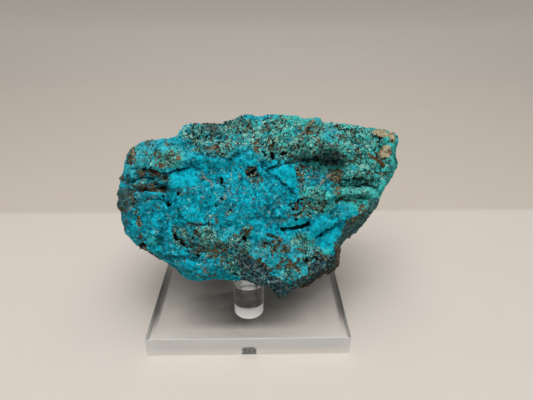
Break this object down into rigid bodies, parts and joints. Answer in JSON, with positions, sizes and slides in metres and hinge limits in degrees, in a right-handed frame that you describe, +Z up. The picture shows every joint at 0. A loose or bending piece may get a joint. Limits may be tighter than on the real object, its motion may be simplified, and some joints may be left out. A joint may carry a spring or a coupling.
{
  "type": "chrysocolla specimen on peg stand",
  "caption": "Rough lump of blue-green chrysocolla leaning back on a low square clear acrylic stand with upright pegs, for display on a shelf",
  "frame": {"origin": "Centre of the base plate's underside", "axes": "+Z up, -Y to the front, where the short peg stands, +X to the right along the stone's length"},
  "size_m": [0.1217, 0.0826, 0.0856],
  "materials": {
    "chrysocolla": "rough, dull to waxy",
    "plate_acrylic": "clear, polished",
    "peg_acrylic": "clear, polished"
  },
  "bodies": {
    "root": {"specimen": "chrysocolla", "base_plate": "plate_acrylic", "front_peg": "peg_acrylic", "rear_peg_left": "peg_acrylic", "rear_peg_right": "peg_acrylic"}
  },
  "joints": []
}
